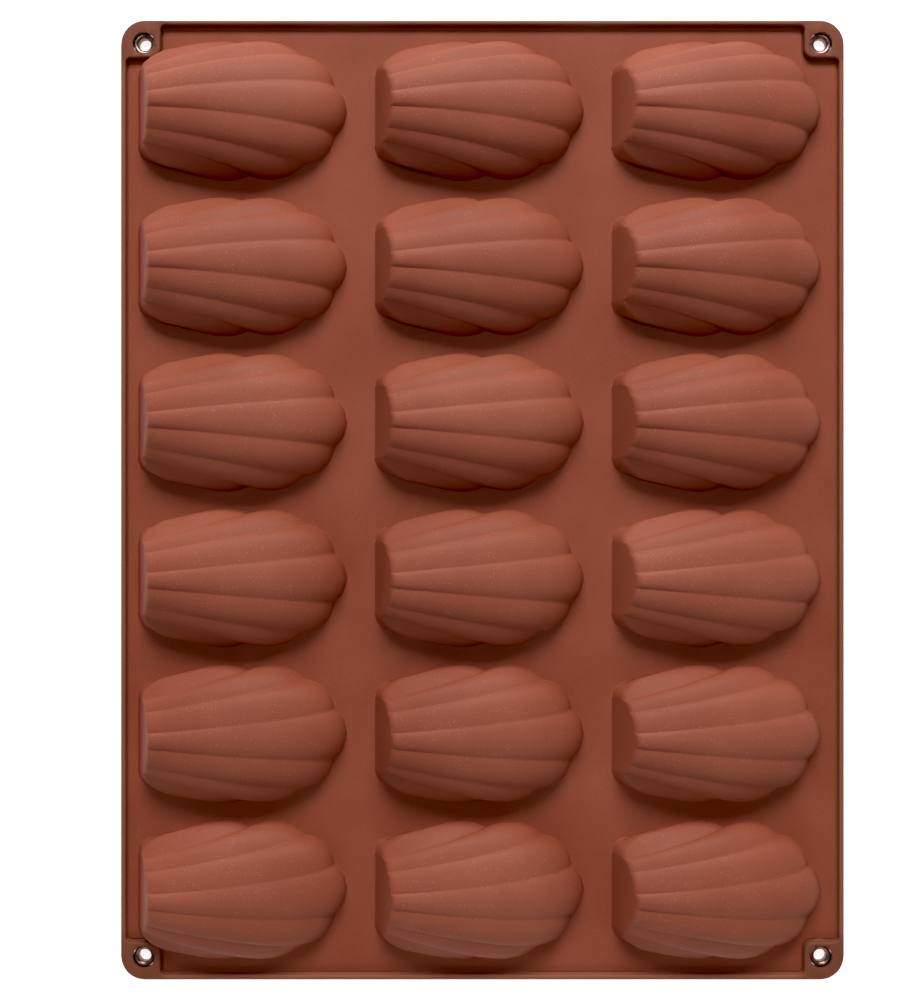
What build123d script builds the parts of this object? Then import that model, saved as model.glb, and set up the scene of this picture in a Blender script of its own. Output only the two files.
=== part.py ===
"""Silicone madeleine mould, turned over: the baking face rests on z = 0 and the shell cups stand up.

+X runs from the cups' flat hinge ends to their scalloped tips, +Y runs along the mould's long side.
The origin is at the centre of the face that the mould rests on. All lengths are in millimetres.
The sheet and the 18 cups are one moulding on the real object. They are kept as separate solids
that meet on the sheet's upper face, so that each cup has its own name.
"""
from build123d import *
import math
import os

# The shell cups, measured outside, over the sheet
cup_length = 86.9
cup_width = 57.5
cup_height = 19.0
cup_wall = 1.8
hinge_wall_slope = 63.0  # degrees from the sheet to the flat wall at the hinge end
hinge_corner_radius = 6.0
hinge_corner_turn = 60.0  # degrees that each corner turns before it runs out into the side

# The array of cups and the margins round it
columns = 3
rows = 6
gap_between_columns = 11.7
gap_between_rows = 7.2
hinge_end_margin = 6.7
tip_end_margin = 9.2
side_margin = 8.5

# The sheet and its raised rim
sheet_thickness = 2.0
rim_height = 2.5
rim_width = 2.0
outer_corner_radius = 10.0
rim_edge_radius = 0.7

# The pad in each corner, with the recesses and the hole for the eyelet
eyelet_inset = 9.5
upper_recess_diameter = 9.8
upper_recess_depth = 2.2
lower_recess_diameter = 9.2
lower_recess_depth = 1.0
pad_wall_along_x = 2.0
pad_wall_along_y = 1.2
pad_corner_radius = 3.8
pad_blend_radius = 2.0

# The eyelet, drawn from thin metal, and the washer that it is clinched over
eyelet_bore = 5.0
eyelet_metal = 0.45
eyelet_flange_diameter = 8.9
eyelet_flange_height = 1.0
eyelet_flare_radius = 0.9
clinch_roll_radius = 0.4
barrel_clearance = 0.15
clinch_diameter = 7.6
clinch_edge_radius = 0.2
washer_thickness = 0.5
washer_diameter = 8.6
washer_bore_clearance = 0.1

# The lines along a cup's lobes. Each stands over a straight line in plan and is part of an ellipse.
# Shares of the half width, length, half width, height and length: where the line starts across
# the hinge line, where it ends along and across the outline, its peak height and its peak's place.
line_shares = {
    "side": (0.715, 0.220, 0.860, 0.221, 0.046),
    "outer_crest": (0.665, 0.445, 1.000, 0.340, 0.162),
    "outer_groove": (0.477, 0.532, 0.911, 0.515, 0.208),
    "middle_groove": (0.330, 0.795, 0.769, 0.763, 0.310),
    "inner_groove": (0.073, 0.939, 0.348, 0.942, 0.347),
    "centre_crest": (0.000, 1.000, 0.000, 1.000, 0.347),
}
# Rise of a lobe over the chord between its two grooves, at the top and at the sheet, by its outer groove
lobe_rise_shares = {"outer_groove": (0.11, 0.15), "middle_groove": (0.11, 0.20)}
fan_axis_share = 0.070  # distance of the sections' common axis behind the hinge line
foot_reach_share = 0.025  # how near to that axis each section ends
foot_width_share = 0.750  # half width of each section there
hinge_width_share = 0.698  # half width of the outline at the hinge line, where its corners would be
corner_reach_share = 0.83  # how much of its radius each corner takes from the flat wall
section_angles = (-8, 0, 8, 18, 30, 42, 54, 64)  # degrees up from the sheet
outer_lobe_point_shares = (0, 0.45, 0.84, 1)  # where the outer lobe's four points lie along its curve

# Sizes that follow
cup_pitch_x = cup_length + gap_between_columns
cup_pitch_y = cup_width + gap_between_rows
mould_width = (columns - 1) * cup_pitch_x + cup_length + hinge_end_margin + tip_end_margin
mould_length = (rows - 1) * cup_pitch_y + cup_width + 2 * side_margin
rim_top = sheet_thickness + rim_height
recess_floor = rim_top - upper_recess_depth
eyelet_x = mould_width / 2 - eyelet_inset
eyelet_y = mould_length / 2 - eyelet_inset
barrel_radius = eyelet_bore / 2 + eyelet_metal


def line_point(name, angle, length, width, height):
    """The point where one line of a cup meets the section plane that rises at this angle."""
    start, end_along, end_across, peak, peak_along = line_shares[name]
    end = end_along * length
    axis = fan_axis_share * length
    centre = peak_along * length
    rise = (peak * height / (end - centre)) ** 2
    slope = math.tan(angle)
    square = rise + slope**2
    linear = 2 * axis * slope**2 - 2 * centre * rise
    constant = rise * centre**2 - (peak * height) ** 2 + (slope * axis) ** 2
    along = (math.sqrt(linear**2 - 4 * square * constant) - linear) / (2 * square)
    across = (start + (end_across - start) * along / end) * width / 2
    return Vector(along, across, (along + axis) * slope)


def lobe_crest(name, first, second, angle):
    """The middle of a lobe between two groove points, raised over their chord in the section plane."""
    top_share, sheet_share = lobe_rise_shares[name]
    chord = second - first
    outward = chord.cross(Vector(math.sin(angle), 0, -math.cos(angle))).normalized()
    rise_share = top_share + (sheet_share - top_share) * math.cos(angle) ** 4
    return (first + second) / 2 + outward * chord.length * rise_share


def mirrored(point):
    """The same point on the other half of the cup."""
    return Vector(point.X, -point.Y, point.Z)


def cup_section(angle, length, width, height):
    """One lobed section of a cup, in a plane through the axis behind the hinge line."""
    side, outer, groove_1, groove_2, groove_3, tip = (
        line_point(name, angle, length, width, height) for name in line_shares
    )
    reach = foot_reach_share * length
    foot_x = reach * math.cos(angle) - fan_axis_share * length
    foot = Vector(foot_x, foot_width_share * width / 2, reach * math.sin(angle))
    crest_2 = lobe_crest("outer_groove", groove_1, groove_2, angle)
    crest_3 = lobe_crest("middle_groove", groove_2, groove_3, angle)
    half = [
        outer_lobe((foot, side, outer, groove_1)),
        ThreePointArc(groove_1, crest_2, groove_2),
        ThreePointArc(groove_2, crest_3, groove_3),
    ]
    middle = [ThreePointArc(groove_3, tip, mirrored(groove_3))]
    other_half = [edge.mirror(Plane.XZ) for edge in reversed(half)]
    return Wire(half + middle + other_half + [Line(mirrored(foot), foot)])


def outer_lobe(points):
    """The curve of the outermost lobe in one section."""
    return Edge.make_spline(points, parameters=outer_lobe_point_shares)


def wall_front(length, width, corner_radius):
    """The area in front of the hinge wall where it stands on the sheet: its edge has two round corners."""
    flat_half = hinge_width_share * width / 2 - corner_reach_share * corner_radius
    turn = math.radians(hinge_corner_turn)
    corner_x = corner_radius * (1 - math.cos(turn))
    corner_y = flat_half + corner_radius * math.sin(turn)
    side_x = corner_x + (width - corner_y) * math.tan(turn)
    back = [
        Line((side_x, -width), (corner_x, -corner_y)),
        RadiusArc((corner_x, -corner_y), (0, -flat_half), corner_radius),
        Line((0, -flat_half), (0, flat_half)),
        RadiusArc((0, flat_half), (corner_x, corner_y), corner_radius),
        Line((corner_x, corner_y), (side_x, width)),
    ]
    reach = 2 * length
    front = Polyline((side_x, width), (reach, width), (reach, -width), (side_x, -width))
    return make_face(back + [front])


def lobed_dome(length, width, height, corner_radius):
    """A solid shell shape on z = 0, with its hinge line at x = 0 and its flat wall leaning over it."""
    sections = [cup_section(math.radians(angle), length, width, height) for angle in section_angles]
    slope = math.radians(hinge_wall_slope)
    lean = (math.cos(slope), 0, math.sin(slope))
    before_wall = extrude(wall_front(length, width, corner_radius), 2 * height, dir=lean)
    return Solid.make_loft(sections) & before_wall


def inner_place_and_sizes():
    """Where the hinge line inside a cup lies, and the inside length, width, height and corner radius."""
    hinge_x = cup_wall / math.sin(math.radians(hinge_wall_slope))
    length = cup_length - cup_wall - hinge_x
    corner_radius = hinge_corner_radius - cup_wall
    return Pos(hinge_x, 0, 0), (length, cup_width - 2 * cup_wall, cup_height - cup_wall, corner_radius)


def shell_cup():
    """One cup, standing on the sheet's upper face with its hinge line at x = 0."""
    place, inner_sizes = inner_place_and_sizes()
    outside = lobed_dome(cup_length, cup_width, cup_height, hinge_corner_radius)
    return Pos(0, 0, sheet_thickness) * (outside - place * lobed_dome(*inner_sizes))


def cup_mouth():
    """The prism that opens the sheet under a cup, with the outline of the cup's inside."""
    place, (length, width, height, corner_radius) = inner_place_and_sizes()
    outline = make_face(cup_section(0, length, width, height))
    mouth = outline & wall_front(length, width, corner_radius)
    return place * extrude(mouth, sheet_thickness)


def cup_places():
    """Row and column numbers of the cups with the place of each one's hinge line, row 1 at the back."""
    first_x = hinge_end_margin - mould_width / 2
    first_y = (rows - 1) * cup_pitch_y / 2
    for row in range(rows):
        for column in range(columns):
            yield row + 1, column + 1, first_x + column * cup_pitch_x, first_y - row * cup_pitch_y


def rim_opening():
    """The area inside the rim: a rectangle with a notch in each corner for the pad."""
    half_x = mould_width / 2 - rim_width
    half_y = mould_length / 2 - rim_width
    pad_x = mould_width / 2 - eyelet_inset - upper_recess_diameter / 2 - pad_wall_along_x
    pad_y = mould_length / 2 - eyelet_inset - upper_recess_diameter / 2 - pad_wall_along_y
    quarter = [(half_x, pad_y), (pad_x, pad_y), (pad_x, half_y)]
    corners = quarter + [(-x, y) for x, y in reversed(quarter)]
    corners += [(-x, -y) for x, y in quarter] + [(x, -y) for x, y in reversed(quarter)]
    outline = make_face(Polyline(*corners, close=True))
    pad_corners = [v for v in outline.vertices() if abs(v.X) < half_x and abs(v.Y) < half_y]
    outline = fillet(pad_corners, pad_corner_radius)
    wall_corners = [v for v in outline.vertices() if on_wall_corner(v, half_x, half_y, pad_x, pad_y)]
    return fillet(wall_corners, pad_blend_radius)


def on_wall_corner(vertex, half_x, half_y, pad_x, pad_y):
    """Whether this vertex is one where the side of a pad meets the rim."""
    near = rim_width / 2
    on_long_side = abs(abs(vertex.X) - half_x) < near and abs(abs(vertex.Y) - pad_y) < near
    on_short_side = abs(abs(vertex.Y) - half_y) < near and abs(abs(vertex.X) - pad_x) < near
    return on_long_side or on_short_side


def silicone_sheet():
    """The flat sheet with its raised rim and corner pads, open at the mouth of each cup."""
    outline = RectangleRounded(mould_width, mould_length, outer_corner_radius)
    rim = extrude(Pos(0, 0, sheet_thickness) * (outline - rim_opening()), rim_height)
    top_edges = rim.edges().group_by(Axis.Z)[-1]
    body = extrude(outline, sheet_thickness) + fillet(top_edges, rim_edge_radius)
    for side_x in (-1, 1):
        for side_y in (-1, 1):
            body -= Pos(side_x * eyelet_x, side_y * eyelet_y, 0) * eyelet_seat()
    mouth = cup_mouth()
    mouths = [Pos(x, y, 0) * mouth for row, column, x, y in cup_places()]
    return body - mouths


def eyelet_seat():
    """What is cut from a pad: a recess above and below, and the hole between them."""
    on_floor = (Align.CENTER, Align.CENTER, Align.MIN)
    upper = Pos(0, 0, recess_floor) * Cylinder(upper_recess_diameter / 2, rim_height, align=on_floor)
    lower = Cylinder(lower_recess_diameter / 2, lower_recess_depth, align=on_floor)
    hole = Cylinder(barrel_radius + barrel_clearance, rim_top, align=on_floor)
    return upper + lower + hole


def eyelet():
    """A drawn metal eyelet: its rolled flange sits in the upper recess, its barrel end is clinched."""
    bore = eyelet_bore / 2
    flange = eyelet_flange_diameter / 2
    clinch = clinch_diameter / 2
    crown = recess_floor + eyelet_flange_height
    crown_under = crown - eyelet_metal
    crown_r = barrel_radius + eyelet_flare_radius
    flare_z = crown_under - eyelet_flare_radius
    roll = flange - crown_r
    roll_z = crown - roll
    clinch_top = lower_recess_depth - washer_thickness
    clinch_low = clinch_top - eyelet_metal
    outer_flare = eyelet_flare_radius + eyelet_metal
    bore_end = (bore, clinch_low + clinch_roll_radius)
    clinch_start = (bore + clinch_roll_radius, clinch_low)
    clinch_side = (clinch, clinch_low + clinch_edge_radius)
    clinch_face = (clinch - clinch_edge_radius, clinch_low)
    profile = [
        Line(bore_end, (bore, flare_z)),
        RadiusArc((bore, flare_z), (crown_r, crown), outer_flare),
        RadiusArc((crown_r, crown), (flange, roll_z), roll),
        Polyline((flange, roll_z), (flange, recess_floor), (flange - eyelet_metal, recess_floor)),
        Line((flange - eyelet_metal, recess_floor), (flange - eyelet_metal, roll_z)),
        RadiusArc((flange - eyelet_metal, roll_z), (crown_r, crown_under), -(roll - eyelet_metal)),
        RadiusArc((crown_r, crown_under), (barrel_radius, flare_z), -eyelet_flare_radius),
        Polyline((barrel_radius, flare_z), (barrel_radius, clinch_top), (clinch, clinch_top), clinch_side),
        RadiusArc(clinch_side, clinch_face, clinch_edge_radius),
        Line(clinch_face, clinch_start),
        RadiusArc(clinch_start, bore_end, clinch_roll_radius),
    ]
    return revolve(Plane.XZ * make_face(profile), Axis.Z)


def washer():
    """The flat washer that the barrel end is clinched over, against the pad's underside."""
    on_floor = (Align.CENTER, Align.CENTER, Align.MIN)
    ring = Cylinder(washer_diameter / 2, washer_thickness, align=on_floor)
    ring -= Cylinder(barrel_radius + washer_bore_clearance, washer_thickness, align=on_floor)
    return Pos(0, 0, lower_recess_depth - washer_thickness) * ring


def write(node, name):
    """Writes one node as parts/NAME.step."""
    node.label = name
    export_step(node, os.path.join("parts", name + ".step"))


def main():
    """Builds every node and writes it."""
    os.makedirs("parts", exist_ok=True)
    write(silicone_sheet(), "silicone_sheet")
    cup = shell_cup()
    for row, column, x, y in cup_places():
        write(Pos(x, y, 0) * cup, f"shell_cup_row{row}_col{column}")
    for end, side_y in (("back", 1), ("front", -1)):
        for side, side_x in (("left", -1), ("right", 1)):
            place = Pos(side_x * eyelet_x, side_y * eyelet_y, 0)
            write(place * eyelet(), f"eyelet_{end}_{side}")
            write(place * washer(), f"eyelet_washer_{end}_{side}")


main()
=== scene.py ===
import bmesh
import bpy
import math
from mathutils import Matrix, Vector


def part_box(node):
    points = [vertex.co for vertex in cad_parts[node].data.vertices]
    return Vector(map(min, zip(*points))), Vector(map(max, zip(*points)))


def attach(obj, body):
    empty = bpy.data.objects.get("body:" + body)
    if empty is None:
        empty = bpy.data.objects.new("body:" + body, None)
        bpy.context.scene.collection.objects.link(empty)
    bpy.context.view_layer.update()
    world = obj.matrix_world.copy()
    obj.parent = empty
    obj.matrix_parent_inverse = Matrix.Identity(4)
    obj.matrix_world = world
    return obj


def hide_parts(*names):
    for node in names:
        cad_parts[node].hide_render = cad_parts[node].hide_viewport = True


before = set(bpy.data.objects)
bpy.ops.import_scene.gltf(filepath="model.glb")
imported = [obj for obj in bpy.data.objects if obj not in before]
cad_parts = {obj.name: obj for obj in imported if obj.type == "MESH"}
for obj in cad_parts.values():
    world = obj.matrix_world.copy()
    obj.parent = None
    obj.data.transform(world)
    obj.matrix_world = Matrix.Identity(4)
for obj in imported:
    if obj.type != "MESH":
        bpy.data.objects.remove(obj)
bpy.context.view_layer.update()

MM = 0.001

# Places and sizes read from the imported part
first_cup_low, first_cup_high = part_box("shell_cup_row1_col1")
_, sheet_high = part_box("silicone_sheet")
sheet_top = first_cup_low[2]
rim_top = sheet_high[2]
cup_length = first_cup_high[0] - first_cup_low[0]
cup_height = first_cup_high[2] - sheet_top
half_x = sheet_high[0]
half_y = sheet_high[1]

# Sizes of the moulding that the frame's boxes don't give
cup_rows = 6
cup_columns = 3
cup_width = 57.5 * MM
cup_wall = 1.8 * MM
hinge_wall_slope = math.radians(63)
hinge_corner_radius = 6.0 * MM
hinge_corner_turn = math.radians(60)
foot_blend = 0.3 * MM
wall_edge_rounding = 2.0 * MM
seam_height = 2.0 * MM
foot_spacing = 0.4 * MM
mouth_rounding = 0.8 * MM
rim_width = 2.0 * MM
rim_rounding = 0.7 * MM
rim_crease_width = 0.9 * MM
rim_crease_depth = 0.45 * MM
outer_corner_radius = 10.0 * MM
eyelet_inset = 9.5 * MM
pad_reach_x = 16.4 * MM
pad_reach_y = 15.6 * MM
pad_corner_radius = 3.8 * MM
pad_blend_radius = 2.0 * MM
upper_recess_radius = 4.9 * MM
recess_floor = sheet_top + 0.3 * MM
barrel_hole_radius = 3.1 * MM
lower_recess_radius = 4.6 * MM
lower_recess_depth = 1.0 * MM
recess_rounding = 0.35 * MM

# The lines along a cup's lobes, each part of an ellipse that stands over a straight line in plan.
# Shares of the half width, length, half width, height and length: where the line starts across
# the hinge line, where it ends along and across the outline, its peak height and its peak's place.
line_shares = {
    "side": (0.715, 0.220, 0.860, 0.221, 0.046),
    "outer_crest": (0.665, 0.445, 1.000, 0.340, 0.162),
    "outer_groove": (0.477, 0.532, 0.911, 0.515, 0.208),
    "middle_groove": (0.330, 0.795, 0.769, 0.763, 0.310),
    "inner_groove": (0.073, 0.939, 0.348, 0.928, 0.347),
    "centre_crest": (0.000, 1.000, 0.000, 1.000, 0.347),
}
# Rise of a lobe over the chord between its two grooves, at the top and at the sheet, as shares of the
# chord, and the power of the cosine by which it changes from one to the other
lobe_rise_shares = {"outer_groove": (0.17, 0.17), "middle_groove": (0.17, 0.20)}
rise_fade_power = 4
# Shares of a cup's length: how far behind the hinge line the lobes' planes meet, and how far from
# there the outermost lobe starts
fan_axis_share = 0.070
foot_reach_share = 0.025
# Shares of the half width: where the outermost lobe starts, and half the hinge line
foot_width_share = 0.750
hinge_width_share = 0.698
# The part of the hinge corner's radius that its arc takes from the straight part
corner_reach_share = 0.83
# Where the outermost lobe's four lines lie across it
outer_lobe_point_shares = (0, 0.45, 0.84, 1)

# How finely a cup is divided: the shares of the outermost lobe, of the next two and of half the middle
# one at which columns lie. They lie close together beside the grooves, which keeps the grooves crisp.
outer_divisions = (
    (0, 0.03, 0.08, 0.15, 0.24, 0.34, 0.45, 0.56, 0.68, 0.8, 0.9, 0.96),
    (0, 0.04, 0.13, 0.27, 0.42, 0.58, 0.73, 0.87, 0.96),
    (0, 0.04, 0.13, 0.27, 0.5),
)
inner_divisions = (
    (0, 0.15, 0.35, 0.6, 0.85),
    (0, 0.1, 0.35, 0.65, 0.9),
    (0, 0.1, 0.5),
)
# Rows up a cup's lobes and down its hinge wall, and how closely the first ones lie at the foot
outer_row_counts = (24, 4)
inner_row_counts = (16, 3)
row_crowding = 1.3
# The pieces that a line is measured in, and the distance under which two vertices become one
curve_samples = 80
merge_distance = 0.005 * MM
# The halvings in a search, and the steepest plane that is searched for the hinge wall, in radians
search_steps = 30
steepest_plane = 1.2
# The wall's edge is rounded over one part in this many of a short line's length or height
least_edge_parts = 3
# How often the directions round a cup's foot are evened out, the steps round each corner of the rim and
# the pads, the sides of an eyelet's recess, and how strongly the large faces set the shading beside them
normal_evenings = 2
corner_steps = 8
recess_sides = 48
flat_face_weight = 100

# Where the points of the small curves lie along them
foot_curve = (0, 0.3, 0.55, 0.8)
mouth_curve = (0, 0.3, 0.7, 1)
mouth_side_share = 0.3
wall_edge_curve = (0.25, 0.5, 0.75)
# The rim's rounded edge in steps: shares of its rounding, sideways and left below the top
rim_edge_steps = ((0.3, 0.3), (0.7, 0))
# The crease inside the rim in steps: shares of its width, sideways, and of its depth below the sheet
rim_crease_steps = ((0, 0.6), (0.3, 1), (0.4, 0.35), (0.3, 0))

# Scales of the patterns, as parts to a metre, and how much detail their noises have
cloud_scale = 1 / (45 * MM)
cloud_detail = 4
grain_scale = 1 / (0.35 * MM)
grain_detail = 3
dust_scale = 1 / (0.8 * MM)
dust_drift_scale = 1 / (11 * MM)
dust_drift_detail = 3
plating_scale = 900
plating_detail = 2

# The silicone's colours, each laid over the ones before it, with its greatest share
pigment_dark = "#80402f"
pigment_light = "#995743"
# Painted sheen: a pale colour laid over the cups, stronger towards their tops, stands in for the sheen of
# light on them
painted_sheen_colour = "#c4877a"
painted_sheen_share = 0.07
# Partly a browner tone of the thick silicone and partly painted highlight: a paler, greyer brown laid over
# the rim and the pads stands in for the light on the rim's rounded top
thick_tone_and_highlight_colour = "#8a5a48"
thick_tone_and_highlight_share = 0.6
pad_colour = "#5a3526"
pad_share = 0.42
pad_fade = 5 * MM
dust_colour = "#e6bba4"
greatest_dust_share = 0.45

# The values between which nearly all of a noise lies, and the fine grain's share in the mottling
noise_spread = (0.3, 0.7)
grain_share = 0.5
# A speck's radius as a share of its cell, the share of that radius inside which it isn't faded, how much
# more dust lies on the cups, and the sum of a cell's chance, its drift and that lean at which its speck
# starts to show and reaches its full strength
dust_radius_share = 0.22
dust_full_share = 0.5
dust_lean = 0.28
dust_threshold = (1.46, 1.66)
# How the surfaces take light: the grain's bumps, the roughness over the grain, and the silicone's own gloss
grain_strength = 0.5
grain_depth = 0.08 * MM
silicone_roughness = (0.46, 0.56)
silicone_ior = 1.41
silicone_specular = 0.15
plating_colour = "#8f6e66"
plating_roughness = (0.3, 0.38)

# The lamps: each one's place, the point it faces and its two sides in metres, and its power in watts
softboxes = {
    "top_softbox": ((0, 1.5, 1.05), (0, 0, 0), (1.5, 0.6), 43.5),
    "overhead_softbox": ((0, 0.1, 1.9), (0, 0, 0), (0.8, 0.3), 6),
    "left_softbox": ((-1.3, 0, 0.8), (0, 0, 0), (0.7, 0.3), 0.9),
    "right_softbox": ((1.3, 0, 0.8), (0, 0, 0), (0.7, 0.3), 0.9),
    "bottom_softbox": ((0, -0.6, 0.25), (0, -0.1, 0), (0.9, 0.2), 1.0),
}
# The floor: how far it reaches to each side, how far it lies under the mould, and its look
floor_reach = 3
floor_gap = 0.05 * MM
floor_colour = "#f4f4f4"
floor_roughness = 0.9
floor_glow = 0.7
# The surround: the heights of direction between which it fades, its strengths at them, and its colour
surround_fade = (0.06, 0.34)
surround_strength = (0.7, 0.03)
white = "#ffffff"

# The camera: its distance from the sheet, the height of the picture there, its shift as a share of it, its
# sensor in millimetres, and the nearest distance that it sees
camera_distance = 0.470
picture_height = 0.4167
picture_shift = -0.0324
sensor_size = 36
nearest_view = 0.01

# The photograph's black point, in linear light
black_point = 0.012


def line_point(name, angle, size):
    """The point where one line of a cup meets the plane that rises at this angle from behind the hinge."""
    start, end_along, end_across, peak, peak_along = line_shares[name]
    length, half_width, height, _ = size
    end = end_along * length
    axis = fan_axis_share * length
    centre = peak_along * length
    rise = (peak * height / (end - centre)) ** 2
    slope = math.tan(angle)
    # The terms of the quadratic equation for the place along the cup
    squared = rise + slope**2
    single = 2 * axis * slope**2 - 2 * centre * rise
    constant = rise * centre**2 - (peak * height) ** 2 + (slope * axis) ** 2
    along = (math.sqrt(single**2 - 4 * squared * constant) - single) / (2 * squared)
    across = (start + (end_across - start) * along / end) * half_width
    return Vector((along, across, (along + axis) * slope))


def arc_point(first, second, rise, angle, share):
    """A point on the arc over a chord in one plane, at this share of the way from first to second."""
    chord = second - first
    outward = chord.cross(Vector((math.sin(angle), 0, -math.cos(angle)))).normalized()
    radius = (chord.length**2 / 4 + rise**2) / (2 * rise)
    half_turn = math.asin(min(1, chord.length / (2 * radius)))
    turn = half_turn * (2 * share - 1)
    along = chord.normalized() * radius * math.sin(turn)
    return (first + second) / 2 + along + outward * (radius * math.cos(turn) - radius + rise)


def outer_lobe_point(angle, size, share):
    """A point on the outermost lobe, on the smooth curve through its four lines."""
    length, half_width, _, _ = size
    reach = foot_reach_share * length
    foot_x = reach * math.cos(angle) - fan_axis_share * length
    points = [Vector((foot_x, foot_width_share * half_width, reach * math.sin(angle)))]
    points += [line_point(name, angle, size) for name in ("side", "outer_crest", "outer_groove")]
    total = Vector()
    for i, point in enumerate(points):
        weight = 1
        for j, other in enumerate(outer_lobe_point_shares):
            if j != i:
                weight *= (share - other) / (outer_lobe_point_shares[i] - other)
        total += point * weight
    return total


def lobe_point(lobe, share, angle, size):
    """A point on one lobe of the half cup: 0 is the outermost lobe and 3 is the middle one."""
    if lobe == 0:
        return outer_lobe_point(angle, size, share)
    if lobe == 3:
        edge = line_point("inner_groove", angle, size)
        other_edge = Vector((edge.x, -edge.y, edge.z))
        tip = line_point("centre_crest", angle, size)
        rise = (tip - (edge + other_edge) / 2).length
        return arc_point(edge, other_edge, rise, angle, share)
    names = ("outer_groove", "middle_groove", "inner_groove")
    first, second = (line_point(name, angle, size) for name in names[lobe - 1 : lobe + 1])
    top_share, sheet_share = lobe_rise_shares[names[lobe - 1]]
    rise_share = top_share + (sheet_share - top_share) * math.cos(angle) ** rise_fade_power
    return arc_point(first, second, (second - first).length * rise_share, angle, share)


def solved(low, high, is_over):
    """The value between low and high where is_over turns true."""
    for _ in range(search_steps):
        middle = (low + high) / 2
        if is_over(middle):
            high = middle
        else:
            low = middle
    return (low + high) / 2


def wall_base(size):
    """Half the straight part of the hinge line, and the radius of the round corner at each end of it."""
    _, half_width, _, radius = size
    return hinge_width_share * half_width - corner_reach_share * radius, radius


def wall_place(across, size):
    """The way round the foot of the hinge wall, from its middle, to where it is this far across."""
    straight, radius = wall_base(size)
    over = across - straight
    if over <= 0:
        return across
    turn = min(math.asin(min(1, over / radius)), hinge_corner_turn)
    return straight + radius * turn + (over - radius * math.sin(turn)) / math.cos(hinge_corner_turn)


def wall_point(way, height, size):
    """The point on the hinge wall at this height and this way round its foot from the middle."""
    straight, radius = wall_base(size)
    turn = min(max(0, way - straight) / radius, hinge_corner_turn)
    past = max(0, way - straight - radius * turn)
    x = radius * (1 - math.cos(turn)) + past * math.sin(hinge_corner_turn)
    y = min(way, straight) + radius * math.sin(turn) + past * math.cos(hinge_corner_turn)
    return Vector((x + height / math.tan(hinge_wall_slope), y, height))


def behind_wall(point, size):
    """Whether a point lies behind the wall at the cup's hinge end."""
    return point.x < wall_point(wall_place(point.y, size), point.z, size).x


def seam_share(angle, size):
    """Where the outermost lobe's section at this angle comes out in front of the hinge wall."""
    return solved(0, 1, lambda share: not behind_wall(lobe_point(0, share, angle, size), size))


def cup_lines(size, divisions):
    """The lines over a half cup, each a function of the angle, from its hinge corner to its middle, and
    the angle at which the seam up that corner ends."""
    outer, across, half = divisions
    top = solved(0, 1, lambda a: lobe_point(0, seam_share(a, size), a, size).z > seam_height)
    first, last = seam_share(0, size), seam_share(top, size)

    def outer_line(share):
        def point(angle):
            seam = first + (last - first) * min(1, angle / top)
            return lobe_point(0, seam + (1 - seam) * share, angle, size)

        return point

    def line(lobe, share):
        return lambda angle: lobe_point(lobe, share, angle, size)

    lines = [outer_line(share) for share in outer[1:]]
    lines += [line(lobe, share) for lobe in (1, 2) for share in across]
    return top, lines + [line(3, share) for share in half]


def spread(points, shares):
    """Points at these shares of the length of the line through the given points."""
    lengths = [0]
    for before, after in zip(points, points[1:]):
        lengths.append(lengths[-1] + (after - before).length)
    result = []
    i = 0
    for share in shares:
        goal = lengths[-1] * share
        while i < len(points) - 2 and lengths[i + 1] < goal:
            i += 1
        step = lengths[i + 1] - lengths[i]
        result.append(points[i].lerp(points[i + 1], (goal - lengths[i]) / step if step else 0))
    return result


def bend(start, corner, end, shares):
    """Points on the curve that rounds a corner, from start to end."""
    return [start * (1 - t) ** 2 + corner * 2 * t * (1 - t) + end * t**2 for t in shares]


def seam_points(top, size, low, rows, wall_rows):
    """The line up the hinge corner, where side and wall meet, and down again through the same points."""
    angles = [top * i / curve_samples for i in range(curve_samples + 1)]
    seam = [lobe_point(0, seam_share(angle, size), angle, size) for angle in angles]
    seam = spread([p for p in seam if p.z >= low], [i / wall_rows for i in range(wall_rows + 1)])
    return seam + [seam[-1]] * (rows - wall_rows + len(wall_edge_curve)) + seam[::-1]


def column_points(line, number, corner_way, size, low, rows, wall_rows):
    """One line over a cup, from height low up its lobes, round the top edge and down the hinge wall, and
    the point on the sheet at the wall's foot."""
    wall_angle = solved(0, steepest_plane, lambda angle: behind_wall(line(angle), size))
    edge = line(wall_angle)
    first = solved(0, wall_angle, lambda angle: line(angle).z > low)
    angles = [first + (wall_angle - first) * i / curve_samples for i in range(curve_samples + 1)]
    curve = [line(angle) for angle in angles]
    length = sum((after - before).length for before, after in zip(curve, curve[1:]))
    rounding = min(wall_edge_rounding, length / least_edge_parts, edge.z / least_edge_parts)
    last = 1 - rounding / length
    up = spread(curve, [last * (i / rows) ** row_crowding for i in range(rows + 1)])
    edge_way = wall_place(edge.y, size)
    foot_way = min(edge_way, corner_way - number * foot_spacing)
    way_down = math.hypot(edge_way - foot_way, (edge.z - low) / math.sin(hinge_wall_slope))
    start = rounding / way_down
    down = []
    for i in range(wall_rows + 1):
        share = start + (1 - start) * i / wall_rows
        way = edge_way + (foot_way - edge_way) * share
        down.append(wall_point(way, edge.z + (low - edge.z) * share, size))
    return up + bend(up[-1], edge, down[0], wall_edge_curve) + down, wall_point(foot_way, 0, size)


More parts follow.
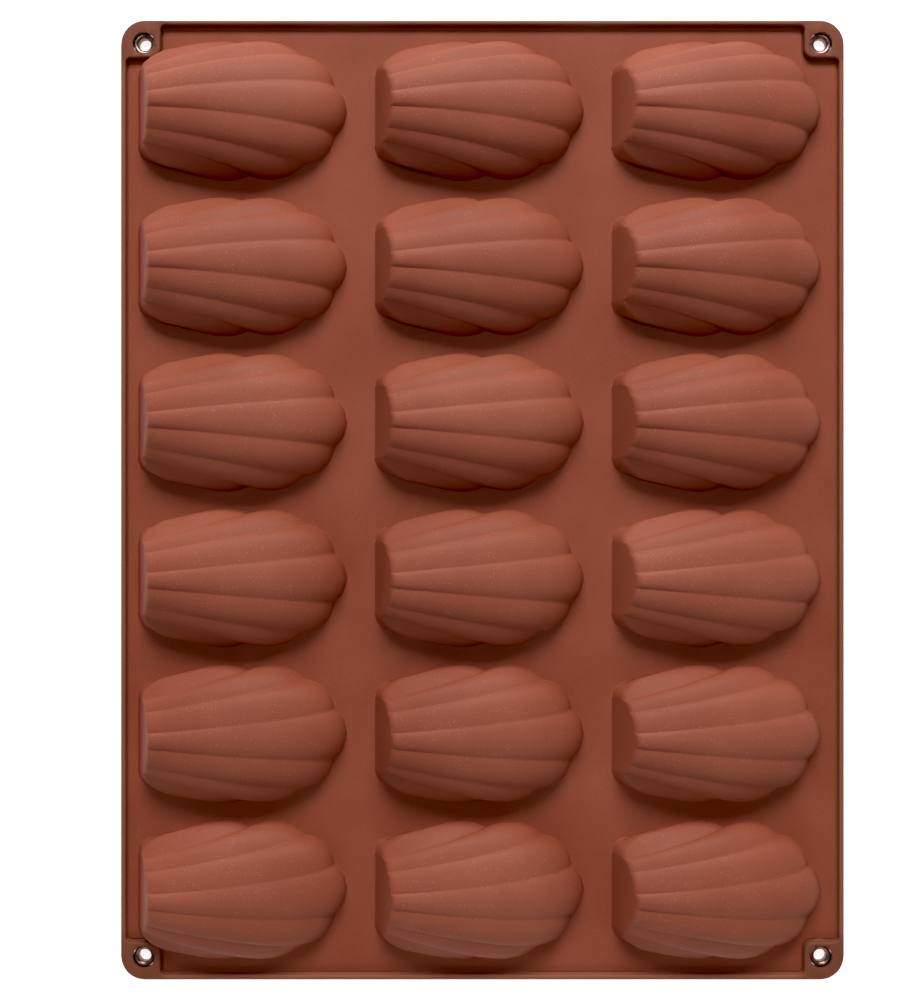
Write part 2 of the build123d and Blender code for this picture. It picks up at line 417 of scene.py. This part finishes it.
def cup_grid(size, divisions, low, rows, wall_rows, foot):
    """The rows of points of one cup, between the rings where its foot meets the flat sheet."""
    top, cup = cup_lines(size, divisions)
    corner = lobe_point(0, seam_share(0, size), 0, size)
    corner_way = wall_place(corner.y, size)
    lines = [seam_points(top, size, low, rows, wall_rows)]
    fronts = [corner]
    backs = [corner]
    for number, line in enumerate(cup):
        points, back = column_points(line, number + 1, corner_way, size, low, rows, wall_rows)
        lines.append(points)
        fronts.append(line(0))
        backs.append(back)
    flip = Matrix.Scale(-1, 3, (0, 1, 0))
    lines += [[flip @ p for p in line] for line in reversed(lines[:-1])]
    fronts += [flip @ p for p in reversed(fronts[:-1])]
    backs += [flip @ p for p in reversed(backs[:-1])]
    outward = plan_normals(fronts + backs[-2:0:-1])
    back_outward = [outward[0]] + outward[: len(fronts) - 2 : -1]
    for i, line in enumerate(lines):
        start = foot(line[0], fronts[i], outward[i])
        end = foot(line[-1], backs[i], back_outward[i])
        lines[i] = start + line + end[::-1]
    return list(zip(*lines))


def with_neighbours(ring):
    """Each member of a closed ring, between the one before it and the one after it."""
    return zip(ring[-1:] + ring[:-1], ring, ring[1:] + ring[:1])


def plan_normals(ring):
    """The outward direction in plan at each point of a clockwise ring, evened out near its corners."""
    normals = []
    for before, _, after in with_neighbours(ring):
        along = after - before
        normals.append(Vector((-along.y, along.x, 0)).normalized())
    for _ in range(normal_evenings):
        beside = with_neighbours(normals)
        normals = [(before + 2 * normal + after).normalized() for before, normal, after in beside]
    return normals


def flared_foot(start, corner, outward):
    """The small hollow curve that leads from the sheet's upper face up into a cup's side."""
    end = corner + outward * foot_blend
    return bend(end, corner, start, foot_curve)


def mouth_foot(_, corner, outward):
    """The way from the baking face round the edge of a mouth and up through the sheet into a cup."""
    floor = corner - Vector((0, 0, sheet_top))
    end = floor + outward * mouth_rounding
    turn = floor + Vector((0, 0, mouth_rounding))
    return bend(end, floor, turn, mouth_curve) + [corner.lerp(turn, mouth_side_share)]


def extruded(bm, chain, closed):
    """Extrudes a chain of edges, given by its vertices in order, and returns the new vertices in order."""
    pairs = list(zip(chain, chain[1:])) + [(chain[-1], chain[0])] * closed
    edges = [bm.edges.get(pair) for pair in pairs]
    made = bmesh.ops.extrude_edge_only(bm, edges=edges)["geom"]
    new = {v for v in made if isinstance(v, bmesh.types.BMVert)}
    return [next(e.other_vert(v) for e in v.link_edges if e.other_vert(v) in new) for v in chain]


def cup_surface(bm, rows, place):
    """Adds one skin of a cup to a mesh, row by row, and returns its vertices and its open ring."""
    chain = [bm.verts.new(point + place) for point in rows[0]]
    for pair in zip(chain, chain[1:]):
        bm.edges.new(pair)
    verts = list(chain)
    for row in rows[1:]:
        chain = extruded(bm, chain, False)
        for vert, point in zip(chain, row):
            vert.co = point + place
        verts += chain
    bmesh.ops.remove_doubles(bm, verts=verts, dist=merge_distance)
    verts = [v for v in verts if v.is_valid]
    return verts, boundary_ring(verts)


def boundary_ring(verts):
    """The vertices of the open edge among these, in order and anticlockwise seen from above."""
    start = next(v for v in verts if v.is_boundary)
    ring = [start, next(e.other_vert(start) for e in start.link_edges if e.is_boundary)]
    while True:
        last = ring[-1]
        following = next(
            e.other_vert(last) for e in last.link_edges if e.is_boundary and ring[-2] not in e.verts
        )
        if following is start:
            break
        ring.append(following)
    area = sum(a.co.x * b.co.y - b.co.x * a.co.y for _, a, b in with_neighbours(ring))
    return ring if area > 0 else ring[::-1]


def ring_moved(bm, ring, outwards, height):
    """Extrudes a closed ring and puts the new one outwards from it by a distance, at a height."""
    points = [v.co.copy() for v in ring]
    new = extruded(bm, ring, True)
    for vert, (before, point, after) in zip(new, with_neighbours(points)):
        along = (after - point).normalized() + (point - before).normalized()
        normal = Vector((along.y, -along.x, 0)).normalized()
        vert.co = point + normal * outwards
        vert.co.z = height
    return new


def rounded_ring(bm, corners, radii, height):
    """A closed ring with the given corners, each rounded by an arc of its own radius."""
    points = []
    for (before, corner, after), radius in zip(with_neighbours(corners), radii):
        back = (before - corner).normalized()
        ahead = (after - corner).normalized()
        centre = corner + (back + ahead) * radius
        for i in range(corner_steps + 1):
            turn = math.pi / 2 * i / corner_steps
            offset = -ahead * math.cos(turn) - back * math.sin(turn)
            points.append(centre + offset * radius)
    verts = [bm.verts.new((p.x, p.y, height)) for p in points]
    for _, vert, following in with_neighbours(verts):
        bm.edges.new((vert, following))
    return verts


def filled(bm, rings, facing):
    """Fills the flat area between rings with triangles that face up or down."""
    edges = [bm.edges.get((v, after)) for ring in rings for _, v, after in with_neighbours(ring)]
    bmesh.ops.triangle_fill(bm, use_beauty=True, edges=edges, normal=(0, 0, facing))


def cup_places():
    """Where the hinge line of each cup lies on the baking face."""
    for row in range(cup_rows):
        for column in range(cup_columns):
            low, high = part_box(f"shell_cup_row{row + 1}_col{column + 1}")
            yield Vector((low[0], (low[1] + high[1]) / 2, 0))


def eyelet_places():
    """The centres of the eyelets on the baking face."""
    for side_y in (1, -1):
        for side_x in (-1, 1):
            yield Vector((side_x * (half_x - eyelet_inset), side_y * (half_y - eyelet_inset), 0))


def rim_corners():
    """The corners of the area inside the rim, with a notch for each pad, and their radii."""
    inner_x = half_x - rim_width
    inner_y = half_y - rim_width
    pad_x = half_x - pad_reach_x
    pad_y = half_y - pad_reach_y
    quarter = [(inner_x, pad_y), (pad_x, pad_y), (pad_x, inner_y)]
    corners = list(quarter)
    corners += [(-x, y) for x, y in reversed(quarter)]
    corners += [(-x, -y) for x, y in quarter]
    corners += [(x, -y) for x, y in reversed(quarter)]
    radii = [pad_blend_radius, pad_corner_radius, pad_blend_radius] * 4
    return [Vector((x, y, 0)) for x, y in corners], radii


def add_cups(bm):
    """Adds both skins of every cup, and returns the rings round their feet and their mouths."""
    outside = (cup_length, cup_width / 2, cup_height, hinge_corner_radius)
    wall_offset = cup_wall / math.sin(hinge_wall_slope)
    inner_length = cup_length - cup_wall - wall_offset
    inner_radius = hinge_corner_radius - cup_wall
    inside = (inner_length, cup_width / 2 - cup_wall, cup_height - cup_wall, inner_radius)
    outer_rows = cup_grid(outside, outer_divisions, foot_blend, *outer_row_counts, flared_foot)
    inner_rows = cup_grid(inside, inner_divisions, 0, *inner_row_counts, mouth_foot)
    top = Vector((0, 0, sheet_top))
    outer, foot = cup_surface(bm, outer_rows, top)
    inner, mouth = cup_surface(bm, inner_rows, top + Vector((wall_offset, 0, 0)))
    faces = list(dict.fromkeys(f for v in outer + inner for f in v.link_faces))
    feet, mouths = [], []
    for place in cup_places():
        copied = bmesh.ops.duplicate(bm, geom=faces)
        moved = [v for v in copied["geom"] if isinstance(v, bmesh.types.BMVert)]
        bmesh.ops.translate(bm, verts=moved, vec=place)
        feet.append([copied["vert_map"][v] for v in foot])
        mouths.append([copied["vert_map"][v] for v in mouth])
    bmesh.ops.delete(bm, geom=outer + inner, context="VERTS")
    return feet, mouths


def add_rim(bm):
    """Adds the rim's inner side and its outer side, and returns the four rings that they end at."""
    corners, radii = rim_corners()
    top_inner = web = rounded_ring(bm, corners, radii, rim_top - rim_rounding)
    for sideways, below in rim_edge_steps:
        top_inner = ring_moved(bm, top_inner, rim_rounding * sideways, rim_top - rim_rounding * below)
    for sideways, below in rim_crease_steps:
        web = ring_moved(bm, web, -rim_crease_width * sideways, sheet_top - rim_crease_depth * below)
    box = [Vector((x * half_x, y * half_y, 0)) for x, y in ((1, 1), (-1, 1), (-1, -1), (1, -1))]
    top_outer = base = rounded_ring(bm, box, [outer_corner_radius] * 4, rim_top - rim_rounding)
    for sideways, below in rim_edge_steps:
        top_outer = ring_moved(bm, top_outer, -rim_rounding * sideways, rim_top - rim_rounding * below)
    base = ring_moved(bm, base, 0, rim_rounding / 2)
    base = ring_moved(bm, base, -rim_rounding / 2, 0)
    return web, top_inner, top_outer, base


def add_eyelet_seats(bm):
    """Adds the recess above and below each eyelet, with the hole between, and returns their end rings."""
    upper, lower = [], []
    for place in eyelet_places():
        made = bmesh.ops.create_circle(
            bm, cap_ends=False, segments=recess_sides, radius=upper_recess_radius
        )
        ring = made["verts"]
        for v in ring:
            v.co += place + Vector((0, 0, rim_top - recess_rounding))
        upper.append(ring_moved(bm, ring, recess_rounding, rim_top))
        ring = ring_moved(bm, ring, 0, recess_floor)
        ring = ring_moved(bm, ring, barrel_hole_radius - upper_recess_radius, recess_floor)
        ring = ring_moved(bm, ring, 0, lower_recess_depth)
        ring = ring_moved(bm, ring, lower_recess_radius - barrel_hole_radius, lower_recess_depth)
        lower.append(ring_moved(bm, ring, 0, 0))
    return upper, lower


def silicone_moulding():
    """The whole moulding as one closed skin: the sheet, the rim, the pads and the 18 cups. Its attribute
    "thickness" is 1 on the rim and the pads and 0 on the sheet and the cups."""
    bm = bmesh.new()
    thickness = bm.verts.layers.float.new("thickness")
    feet, mouths = add_cups(bm)
    thin = set(bm.verts)
    web, top_inner, top_outer, base = add_rim(bm)
    upper, lower = add_eyelet_seats(bm)
    for vert in set(bm.verts) - thin - set(web) - set(base):
        vert[thickness] = 1
    filled(bm, [web] + feet, 1)
    filled(bm, [top_inner, top_outer] + upper, 1)
    filled(bm, [base] + mouths + lower, -1)
    bmesh.ops.recalc_face_normals(bm, faces=bm.faces)
    piece = new_piece(bm, "silicone_moulding")
    piece.modifiers.new("flat_areas_shade_flat", "WEIGHTED_NORMAL").weight = flat_face_weight
    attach(piece, "root")
    cups = [
        f"shell_cup_row{row + 1}_col{column + 1}" for row in range(cup_rows) for column in range(cup_columns)
    ]
    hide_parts("silicone_sheet", *cups)
    return piece


def new_piece(bm, name):
    """Makes a smooth-shaded object from a mesh in code."""
    mesh = bpy.data.meshes.new(name)
    bm.to_mesh(mesh)
    bm.free()
    mesh.shade_smooth()
    piece = bpy.data.objects.new(name, mesh)
    bpy.context.scene.collection.objects.link(piece)
    return piece


def linear(hex_colour):
    """An sRGB hex colour as linear values, with full alpha."""
    values = [int(hex_colour[i : i + 2], 16) / 255 for i in (1, 3, 5)]
    return [v / 12.92 if v <= 0.04045 else ((v + 0.055) / 1.055) ** 2.4 for v in values] + [1]


def add_node(tree, kind, inputs=(), **settings):
    """Adds a node with its settings, and links or sets its inputs, given in order or by name or number."""
    node = tree.nodes.new(kind)
    for name, value in settings.items():
        setattr(node, name, value)
    for key, value in inputs.items() if isinstance(inputs, dict) else enumerate(inputs):
        if isinstance(value, bpy.types.NodeSocket):
            tree.links.new(value, node.inputs[key])
        else:
            node.inputs[key].default_value = value
    return node


def empty_material(name):
    """A material with no nodes yet, and its node tree."""
    material = bpy.data.materials.new(name)
    material.use_nodes = True
    material.node_tree.nodes.clear()
    return material, material.node_tree


def dust_share(tree, place, raised):
    """Where pale dust specks show: small dots in some cells, in drifts, more of them on the raised cups."""
    cells = add_node(tree, "ShaderNodeTexVoronoi", {"Vector": place, "Scale": dust_scale}).outputs
    # A Map Range node takes the value, the range it comes from and the range it goes to
    full_radius = dust_radius_share * dust_full_share
    dots = add_node(
        tree, "ShaderNodeMapRange", (cells["Distance"], full_radius, dust_radius_share, 1, 0)
    ).outputs["Result"]
    drift = add_node(
        tree,
        "ShaderNodeTexNoise",
        {"Vector": place, "Scale": dust_drift_scale, "Detail": dust_drift_detail},
    ).outputs["Fac"]
    chance = add_node(tree, "ShaderNodeSeparateColor", (cells["Color"],)).outputs["Red"]
    drifted = add_node(tree, "ShaderNodeMath", (chance, drift), operation="ADD").outputs[0]
    lean = add_node(tree, "ShaderNodeMath", (raised, dust_lean), operation="MULTIPLY").outputs[0]
    settled = add_node(tree, "ShaderNodeMath", (drifted, lean), operation="ADD").outputs[0]
    shown = add_node(
        tree, "ShaderNodeMapRange", (settled, *dust_threshold, 0, greatest_dust_share)
    ).outputs["Result"]
    return add_node(tree, "ShaderNodeMath", (dots, shown), operation="MULTIPLY").outputs[0]


def pad_shade(tree, x, y, thick):
    """Where the silicone is thickest: the corner pads, with a short fade into the rim beside them."""
    share = thick
    for axis, edge, most in ((x, half_x - pad_reach_x, pad_share), (y, half_y - pad_reach_y, 1)):
        out = add_node(tree, "ShaderNodeMath", (axis,), operation="ABSOLUTE").outputs[0]
        near = add_node(tree, "ShaderNodeMapRange", (out, edge - pad_fade, edge, 0, most))
        share = add_node(
            tree, "ShaderNodeMath", (share, near.outputs["Result"]), operation="MULTIPLY"
        ).outputs[0]
    return share


def moulded_silicone():
    """Platinum-cured silicone rubber, pigmented brown and pressed in a blasted mould: satin, finely grained,
    darker in the thick pads, greyer on the rim and pads, partly a real tone and partly painted highlight,
    paler towards the cups' tops with painted sheen, and with dust specks on the raised cups."""
    material, tree = empty_material("moulded_silicone_rubber")
    place = add_node(tree, "ShaderNodeTexCoord").outputs["Object"]
    x, y, z = add_node(tree, "ShaderNodeSeparateXYZ", (place,)).outputs
    cloud = add_node(
        tree, "ShaderNodeTexNoise", {"Vector": place, "Scale": cloud_scale, "Detail": cloud_detail}
    ).outputs["Fac"]
    grain = add_node(
        tree, "ShaderNodeTexNoise", {"Vector": place, "Scale": grain_scale, "Detail": grain_detail}
    ).outputs["Fac"]
    # A Mix node's inputs are its share and two values, and its inputs 6 and 7 and output 2 are for colours
    pattern = add_node(tree, "ShaderNodeMix", {0: grain_share, 2: cloud, 3: grain}).outputs[0]
    mottle = add_node(tree, "ShaderNodeMapRange", (pattern, *noise_spread, 0, 1)).outputs["Result"]
    raised = add_node(
        tree, "ShaderNodeMapRange", (z, rim_top, sheet_top + cup_height, 0, 1)
    ).outputs["Result"]
    # Painted sheen: the cups are paled more the higher they rise
    painted_sheen = add_node(tree, "ShaderNodeMath", (raised, painted_sheen_share), operation="MULTIPLY").outputs[0]
    thick = add_node(tree, "ShaderNodeAttribute", attribute_name="thickness").outputs["Fac"]
    # Painted highlight, with a real tone: the rim and the pads are tinted paler and greyer
    thick_tone_and_highlight = add_node(tree, "ShaderNodeMath", (thick, thick_tone_and_highlight_share), operation="MULTIPLY").outputs[0]
    layers = (
        (mottle, pigment_light),
        (painted_sheen, painted_sheen_colour),
        (thick_tone_and_highlight, thick_tone_and_highlight_colour),
        (pad_shade(tree, x, y, thick), pad_colour),
        (dust_share(tree, place, raised), dust_colour),
    )
    colour = linear(pigment_dark)
    for share, tint in layers:
        mix = add_node(tree, "ShaderNodeMix", {0: share, 6: colour, 7: linear(tint)}, data_type="RGBA")
        colour = mix.outputs[2]
    bump = add_node(
        tree, "ShaderNodeBump", {"Height": grain, "Strength": grain_strength, "Distance": grain_depth}
    )
    roughness = add_node(tree, "ShaderNodeMapRange", (grain, *noise_spread, *silicone_roughness))
    shader = add_node(
        tree,
        "ShaderNodeBsdfPrincipled",
        {
            "Base Color": colour,
            "Normal": bump.outputs["Normal"],
            "Roughness": roughness.outputs["Result"],
            "IOR": silicone_ior,
            "Specular IOR Level": silicone_specular,
        },
    )
    add_node(tree, "ShaderNodeOutputMaterial", {"Surface": shader.outputs["BSDF"]})
    return material


def nickel_plate():
    """Nickel plate on drawn brass, tinted brown by oven heat: a dark, warm, slightly uneven mirror."""
    material, tree = empty_material("heat_tinted_nickel_plate")
    place = add_node(tree, "ShaderNodeTexCoord").outputs["Object"]
    wear = add_node(
        tree, "ShaderNodeTexNoise", {"Vector": place, "Scale": plating_scale, "Detail": plating_detail}
    ).outputs["Fac"]
    roughness = add_node(tree, "ShaderNodeMapRange", (wear, 0, 1, *plating_roughness))
    shader = add_node(
        tree,
        "ShaderNodeBsdfPrincipled",
        {"Base Color": linear(plating_colour), "Metallic": 1, "Roughness": roughness.outputs["Result"]},
    )
    add_node(tree, "ShaderNodeOutputMaterial", {"Surface": shader.outputs["BSDF"]})
    return material


def white_paper():
    """The white studio floor, lit from within like a light table, so that it stays white in any shadow."""
    material, tree = empty_material("white_studio_floor")
    shader = add_node(
        tree,
        "ShaderNodeBsdfPrincipled",
        {
            "Base Color": linear(floor_colour),
            "Roughness": floor_roughness,
            "Emission Color": linear(white),
            "Emission Strength": floor_glow,
        },
    )
    add_node(tree, "ShaderNodeOutputMaterial", {"Surface": shader.outputs["BSDF"]})
    return material


def add_floor():
    """A plain pale floor, just under the mould so that the two faces don't fight."""
    bm = bmesh.new()
    bmesh.ops.create_grid(bm, x_segments=1, y_segments=1, size=floor_reach)
    bmesh.ops.translate(bm, verts=bm.verts, vec=(0, 0, -floor_gap))
    floor = new_piece(bm, "floor")
    floor.data.materials.append(white_paper())


def add_light(name, place, target, sides, power):
    """A soft rectangular lamp that shines from one place towards another."""
    data = bpy.data.lights.new(name, "AREA")
    data.shape = "RECTANGLE"
    data.size, data.size_y = sides
    data.energy = power
    lamp = bpy.data.objects.new(name, data)
    lamp.location = place
    lamp.rotation_euler = (Vector(target) - Vector(place)).to_track_quat("-Z", "Y").to_euler()
    bpy.context.scene.collection.objects.link(lamp)


def add_camera():
    """The camera straight over the mould, with the photograph's reach and framing."""
    data = bpy.data.cameras.new("camera")
    data.sensor_width = sensor_size
    data.lens = sensor_size * camera_distance / picture_height
    data.shift_x = picture_shift
    data.clip_start = nearest_view
    camera = bpy.data.objects.new("camera", data)
    camera.location = (0, 0, sheet_top + camera_distance)
    bpy.context.scene.collection.objects.link(camera)
    bpy.context.scene.camera = camera


def add_world():
    """A studio's surround: pale walls up to a little over the horizon, and a dark ceiling."""
    world = bpy.data.worlds.new("surround")
    world.use_nodes = True
    tree = world.node_tree
    direction = add_node(tree, "ShaderNodeTexCoord").outputs["Generated"]
    rise = add_node(tree, "ShaderNodeSeparateXYZ", (direction,)).outputs["Z"]
    strength = add_node(tree, "ShaderNodeMapRange", (rise, *surround_fade, *surround_strength))
    background = tree.nodes["Background"]
    background.inputs["Color"].default_value = linear(white)
    tree.links.new(strength.outputs["Result"], background.inputs["Strength"])
    bpy.context.scene.world = world


def main():
    """Dresses the part and sets up the studio."""
    moulding = silicone_moulding()
    moulding.data.materials.append(moulded_silicone())
    metal = nickel_plate()
    for name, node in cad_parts.items():
        if name.startswith("eyelet"):
            for slot in node.material_slots:
                slot.material = metal
    add_floor()
    for name, lamp in softboxes.items():
        add_light(name, *lamp)
    add_world()
    view = bpy.context.scene.view_settings
    view.view_transform = "Standard"
    view.use_curve_mapping = True
    view.curve_mapping.black_level = (black_point,) * 3
    add_camera()


main()
